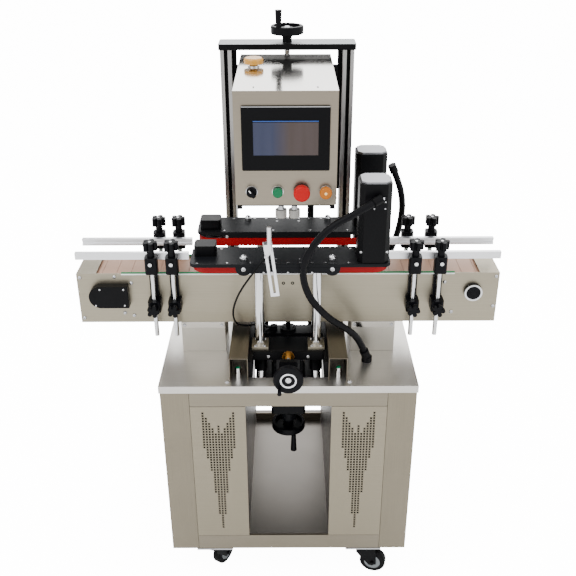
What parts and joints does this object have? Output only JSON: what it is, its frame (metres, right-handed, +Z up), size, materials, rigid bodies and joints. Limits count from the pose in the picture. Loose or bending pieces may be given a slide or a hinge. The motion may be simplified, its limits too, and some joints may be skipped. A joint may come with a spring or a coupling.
{
  "type": "capping machine",
  "caption": "Cabinet-mounted bottle capping machine: slat conveyor between guide rails, two belt units that grip the bottle, and a height-adjustable capping head.",
  "frame": {"origin": "middle of the object's footprint, on the floor", "axes": "+Z up, +X along the conveyor towards the outfeed, -Y towards the operator"},
  "size_m": [1.11, 0.662, 1.5053],
  "materials": {
    "stainless": "hairline",
    "polished_steel": "polished",
    "chromed_steel": "polished",
    "black_anodised": "satin",
    "black_paint": "satin",
    "black_plastic": "matte",
    "chain_plastic": "matte",
    "green_strip": "matte",
    "rail_aluminium": "anodised",
    "red_belt": "satin",
    "pulley_aluminium": "machined",
    "roller_rubber": "matte",
    "caster_rubber": "matte",
    "green_cap": "gloss",
    "red_cap": "gloss",
    "amber_cap": "gloss",
    "gold_cap": "gloss",
    "cable_rubber": "ribbed"
  },
  "bodies": {
    "base": {"table_top": "stainless", "base_frame": "stainless", "cabinet_panels": "stainless", "vent_panels": "stainless", "conveyor_side_plates": "stainless", "conveyor_end_covers": "polished_steel", "conveyor_chain": "chain_plastic", "wear_strips": "green_strip", "drive_cover": "black_paint", "conveyor_motor": "black_paint", "shaft_bearings": "black_plastic", "conveyor_stands": "stainless", "rail_supports": "black_plastic", "slide_channels": "stainless", "table_fittings": "black_paint", "head_frame": "rail_aluminium"},
    "drive_shaft": {"drive_shaft": "chromed_steel"},
    "idler_shaft": {"idler_shaft": "chromed_steel"},
    "front_left_caster_fork": {"front_left_caster_fork": "black_paint"},
    "front_left_caster_wheel": {"front_left_caster_wheel": "caster_rubber"},
    "front_right_caster_fork": {"front_right_caster_fork": "black_paint"},
    "front_right_caster_wheel": {"front_right_caster_wheel": "caster_rubber"},
    "rear_left_caster_fork": {"rear_left_caster_fork": "black_paint"},
    "rear_left_caster_wheel": {"rear_left_caster_wheel": "caster_rubber"},
    "rear_right_caster_fork": {"rear_right_caster_fork": "black_paint"},
    "rear_right_caster_wheel": {"rear_right_caster_wheel": "caster_rubber"},
    "front_left_guide_rail": {"front_left_guide_rail": "rail_aluminium"},
    "front_right_guide_rail": {"front_right_guide_rail": "rail_aluminium"},
    "rear_left_guide_rail": {"rear_left_guide_rail": "rail_aluminium"},
    "rear_right_guide_rail": {"rear_right_guide_rail": "rail_aluminium"},
    "lift_plate": {"lift_plate": "black_anodised"},
    "front_carriage": {"front_carriage": "black_anodised"},
    "rear_carriage": {"rear_carriage": "black_anodised"},
    "front_belt_unit": {"front_belt_plate": "black_anodised", "front_belt": "red_belt", "front_motor": "black_paint", "sensor": "rail_aluminium", "front_hose": "cable_rubber", "sensor_cable": "cable_rubber"},
    "rear_belt_unit": {"rear_belt_plate": "black_anodised", "rear_belt": "red_belt", "rear_motor": "black_paint", "rear_hose": "cable_rubber"},
    "front_handwheel": {"front_handwheel": "black_plastic"},
    "bottom_handwheel": {"bottom_handwheel": "black_plastic"},
    "top_handwheel": {"top_handwheel": "black_plastic"},
    "head": {"head_box": "polished_steel", "head_carriage": "black_paint", "control_panel": "black_plastic"},
    "selector_knob": {"selector_knob": "black_plastic"},
    "start_button": {"start_button": "green_cap"},
    "stop_button": {"stop_button": "red_cap"},
    "reset_button": {"reset_button": "amber_cap"},
    "top_button": {"top_button": "gold_cap"},
    "left_capping_wheel": {"left_capping_wheel": "roller_rubber"},
    "right_capping_wheel": {"right_capping_wheel": "roller_rubber"},
    "front_idler_pulley": {"front_idler_pulley": "pulley_aluminium"},
    "front_drive_pulley": {"front_drive_pulley": "pulley_aluminium"},
    "rear_idler_pulley": {"rear_idler_pulley": "pulley_aluminium"},
    "rear_drive_pulley": {"rear_drive_pulley": "pulley_aluminium"}
  },
  "joints": [
    {"name": "front_left_caster_swivel", "type": "hinge", "parent": "base", "child": "front_left_caster_fork", "pos_m": [-0.2125, -0.243, 0.09], "axis": [0, 0, 1], "continuous": true},
    {"name": "front_left_caster_roll", "type": "hinge", "parent": "front_left_caster_fork", "child": "front_left_caster_wheel", "pos_m": [-0.19448, -0.21417, 0.0375], "axis": [-0.848, 0.5299, 0], "continuous": true},
    {"name": "front_right_caster_swivel", "type": "hinge", "parent": "base", "child": "front_right_caster_fork", "pos_m": [0.2125, -0.243, 0.09], "axis": [0, 0, 1], "continuous": true},
    {"name": "front_right_caster_roll", "type": "hinge", "parent": "front_right_caster_fork", "child": "front_right_caster_wheel", "pos_m": [0.24549, -0.25123, 0.0375], "axis": [0.2419, 0.9703, 0], "continuous": true},
    {"name": "rear_left_caster_swivel", "type": "hinge", "parent": "base", "child": "rear_left_caster_fork", "pos_m": [-0.2125, 0.295, 0.09], "axis": [0, 0, 1], "continuous": true},
    {"name": "rear_left_caster_roll", "type": "hinge", "parent": "rear_left_caster_fork", "child": "rear_left_caster_wheel", "pos_m": [-0.2125, 0.261, 0.0375], "axis": [1, 0, 0], "continuous": true},
    {"name": "rear_right_caster_swivel", "type": "hinge", "parent": "base", "child": "rear_right_caster_fork", "pos_m": [0.2125, 0.295, 0.09], "axis": [0, 0, 1], "continuous": true},
    {"name": "rear_right_caster_roll", "type": "hinge", "parent": "rear_right_caster_fork", "child": "rear_right_caster_wheel", "pos_m": [0.2125, 0.261, 0.0375], "axis": [1, 0, 0], "continuous": true},
    {"name": "drive_shaft_spin", "type": "hinge", "parent": "base", "child": "drive_shaft", "pos_m": [-0.488, -0.05, 0.845], "axis": [0, 1, 0], "continuous": true},
    {"name": "idler_shaft_spin", "type": "hinge", "parent": "base", "child": "idler_shaft", "pos_m": [0.488, -0.05, 0.845], "axis": [0, 1, 0], "continuous": true},
    {"name": "front_left_guide_rail_slide", "type": "slide", "parent": "base", "child": "front_left_guide_rail", "axis": [0, -1, 0], "range_m": [-0.03, 0.012]},
    {"name": "front_right_guide_rail_slide", "type": "slide", "parent": "base", "child": "front_right_guide_rail", "axis": [0, -1, 0], "range_m": [-0.03, 0.012]},
    {"name": "rear_left_guide_rail_slide", "type": "slide", "parent": "base", "child": "rear_left_guide_rail", "axis": [0, 1, 0], "range_m": [-0.03, 0.012]},
    {"name": "rear_right_guide_rail_slide", "type": "slide", "parent": "base", "child": "rear_right_guide_rail", "axis": [0, 1, 0], "range_m": [-0.03, 0.012]},
    {"name": "lift", "type": "slide", "parent": "base", "child": "lift_plate", "axis": [0, 0, 1], "range_m": [-0.025, 0.03]},
    {"name": "front_width", "type": "slide", "parent": "base", "child": "front_carriage", "axis": [0, -1, 0], "range_m": [-0.012, 0.035]},
    {"name": "rear_width", "type": "slide", "parent": "base", "child": "rear_carriage", "axis": [0, 1, 0], "range_m": [-0.012, 0.035]},
    {"name": "front_lift", "type": "slide", "parent": "front_carriage", "child": "front_belt_unit", "axis": [0, 0, 1], "range_m": [-0.025, 0.03], "deforming": ["front_hose", "sensor_cable"]},
    {"name": "rear_lift", "type": "slide", "parent": "rear_carriage", "child": "rear_belt_unit", "axis": [0, 0, 1], "range_m": [-0.025, 0.03], "deforming": ["rear_hose"]},
    {"name": "front_handwheel_turn", "type": "hinge", "parent": "base", "child": "front_handwheel", "pos_m": [0, -0.301, 0.698], "axis": [0, -1, 0], "range_deg": [-500, 1300]},
    {"name": "bottom_handwheel_turn", "type": "hinge", "parent": "base", "child": "bottom_handwheel", "pos_m": [0, -0.07, 0.392], "axis": [0, 0, 1], "range_deg": [-950, 1130]},
    {"name": "top_handwheel_turn", "type": "hinge", "parent": "base", "child": "top_handwheel", "pos_m": [0, 0.284, 1.449], "axis": [0, 0, 1], "range_deg": [-3100, 320]},
    {"name": "head_lift", "type": "slide", "parent": "base", "child": "head", "axis": [0, 0, 1], "range_m": [-0.085, 0.008]},
    {"name": "selector_turn", "type": "hinge", "parent": "head", "child": "selector_knob", "pos_m": [-0.087, -0.156, 1.145], "axis": [0, 1, 0], "range_deg": [0, 70]},
    {"name": "start_press", "type": "slide", "parent": "head", "child": "start_button", "axis": [0, 1, 0], "range_m": [0, 0.004], "stiffness_N_per_m": 600},
    {"name": "stop_press", "type": "slide", "parent": "head", "child": "stop_button", "axis": [0, 1, 0], "range_m": [0, 0.005]},
    {"name": "reset_press", "type": "slide", "parent": "head", "child": "reset_button", "axis": [0, 1, 0], "range_m": [0, 0.004], "stiffness_N_per_m": 600},
    {"name": "top_press", "type": "slide", "parent": "head", "child": "top_button", "axis": [0, 0, -1], "range_m": [0, 0.004], "stiffness_N_per_m": 1500},
    {"name": "left_capping_wheel_spin", "type": "hinge", "parent": "head", "child": "left_capping_wheel", "pos_m": [-0.017, -0.05, 1.07], "axis": [0, 0, 1], "continuous": true},
    {"name": "right_capping_wheel_spin", "type": "hinge", "parent": "head", "child": "right_capping_wheel", "pos_m": [0.017, -0.05, 1.07], "axis": [0, 0, 1], "continuous": true},
    {"name": "front_idler_pulley_spin", "type": "hinge", "parent": "front_belt_unit", "child": "front_idler_pulley", "pos_m": [-0.202, -0.1345, 0.945], "axis": [0, 0, 1], "continuous": true},
    {"name": "front_drive_pulley_spin", "type": "hinge", "parent": "front_belt_unit", "child": "front_drive_pulley", "pos_m": [0.213, -0.1345, 0.945], "axis": [0, 0, 1], "continuous": true},
    {"name": "rear_idler_pulley_spin", "type": "hinge", "parent": "rear_belt_unit", "child": "rear_idler_pulley", "pos_m": [-0.202, 0.0345, 0.945], "axis": [0, 0, 1], "continuous": true},
    {"name": "rear_drive_pulley_spin", "type": "hinge", "parent": "rear_belt_unit", "child": "rear_drive_pulley", "pos_m": [0.213, 0.0345, 0.945], "axis": [0, 0, 1], "continuous": true}
  ],
  "couplings": [
    {"joint": "idler_shaft_spin", "follows": "drive_shaft_spin", "ratio": 1},
    {"joint": "rear_width", "follows": "front_width", "ratio": 1},
    {"joint": "front_lift", "follows": "lift", "ratio": 1},
    {"joint": "rear_lift", "follows": "lift", "ratio": 1},
    {"joint": "front_handwheel_turn", "follows": "front_width", "rad_per_m": 628.32},
    {"joint": "bottom_handwheel_turn", "follows": "lift", "rad_per_m": 628.32},
    {"joint": "top_handwheel_turn", "follows": "head_lift", "rad_per_m": 628.32},
    {"joint": "right_capping_wheel_spin", "follows": "left_capping_wheel_spin", "ratio": 1},
    {"joint": "front_idler_pulley_spin", "follows": "front_drive_pulley_spin", "ratio": 1},
    {"joint": "rear_idler_pulley_spin", "follows": "rear_drive_pulley_spin", "ratio": 1}
  ]
}
